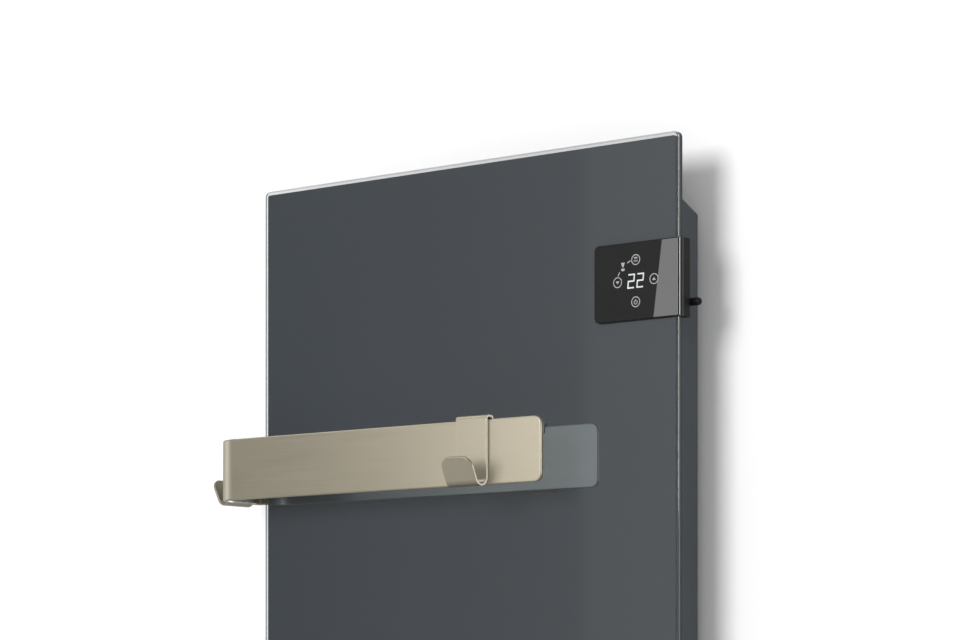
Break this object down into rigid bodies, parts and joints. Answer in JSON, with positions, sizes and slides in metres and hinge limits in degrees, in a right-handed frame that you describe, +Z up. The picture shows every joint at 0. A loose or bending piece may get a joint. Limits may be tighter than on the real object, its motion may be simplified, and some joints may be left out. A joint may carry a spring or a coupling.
{
  "type": "towel warmer",
  "caption": "Wall-hung glass panel heater with a flat bent towel bar, hang-on towel hooks and a touch control unit gripping the edge of the glass.",
  "frame": {"origin": "on the wall plane, in the middle of the four wall screws, which is the middle of the glass", "axes": "+Z up, +Y into the wall, +X to the right seen from the front; the glass faces -Y"},
  "size_m": [0.5724, 0.1344, 1],
  "materials": {
    "dark_glass": "polished glass, anthracite enamel behind it, clear rim",
    "anthracite_paint": "satin powder coat",
    "zinc_steel": "zinc plated",
    "champagne_aluminium": "satin champagne anodised",
    "black_plastic": "fine matt texture",
    "gloss_black": "high gloss",
    "black_rubber": "soft matt",
    "silicone_bead": "cured adhesive",
    "heating_film": "amber film with printed tracks",
    "mineral_board": "pressed fibre board",
    "circuit_board": "green solder mask",
    "display_block": "smoked",
    "component_black": "moulded",
    "terminal_grey": "moulded",
    "brass": "turned",
    "lead_jacket": "silicone insulation",
    "earth_jacket": "green and yellow insulation"
  },
  "bodies": {
    "wall_mount": {"wall_rail_upper": "zinc_steel", "wall_rail_lower": "zinc_steel"},
    "heater": {"glass_panel": "dark_glass", "bond_bead": "silicone_bead", "heating_mat": "heating_film", "insulation_board": "mineral_board", "rear_housing": "anthracite_paint", "service_cover": "anthracite_paint", "cover_screws": "zinc_steel", "wall_buffers": "black_rubber", "hangers_upper": "zinc_steel", "hangers_lower": "zinc_steel", "hanger_rivets": "zinc_steel", "towel_bar": "champagne_aluminium", "bar_slot_trim": "black_rubber", "bar_bracket": "zinc_steel", "bar_screws": "zinc_steel", "bracket_rivets": "zinc_steel", "access_plugs": "black_plastic", "control_front_case": "black_plastic", "control_fascia": "gloss_black", "touch_board": "circuit_board", "led_display": "display_block", "control_rear_case": "black_plastic", "room_sensor": "black_plastic", "power_board": "circuit_board", "board_standoffs": "brass", "board_screws": "zinc_steel", "relay": "component_black", "transformer": "component_black", "terminal_block": "terminal_grey", "control_connector": "terminal_grey", "control_lead": "lead_jacket", "mat_terminals": "terminal_grey", "overheat_limiter": "zinc_steel", "element_leads": "lead_jacket", "earth_stud": "brass", "earth_nut": "zinc_steel", "earth_lead": "earth_jacket", "cable_gland": "black_plastic", "gland_nut": "black_plastic"},
    "front_hook": {"hook_front": "champagne_aluminium", "hook_front_liner": "black_rubber"},
    "side_hook": {"hook_side": "champagne_aluminium", "hook_side_liner": "black_rubber"}
  },
  "joints": [
    {"name": "heater_lift", "type": "slide", "parent": "wall_mount", "child": "heater", "axis": [0, 0, 1], "range_m": [0, 0.015]},
    {"name": "front_hook_slide", "type": "slide", "parent": "heater", "child": "front_hook", "axis": [1, 0, 0], "range_m": [-0.285, 0.051]},
    {"name": "side_hook_lift", "type": "slide", "parent": "heater", "child": "side_hook", "axis": [0, 0, 1], "range_m": [0, 0.05]}
  ]
}
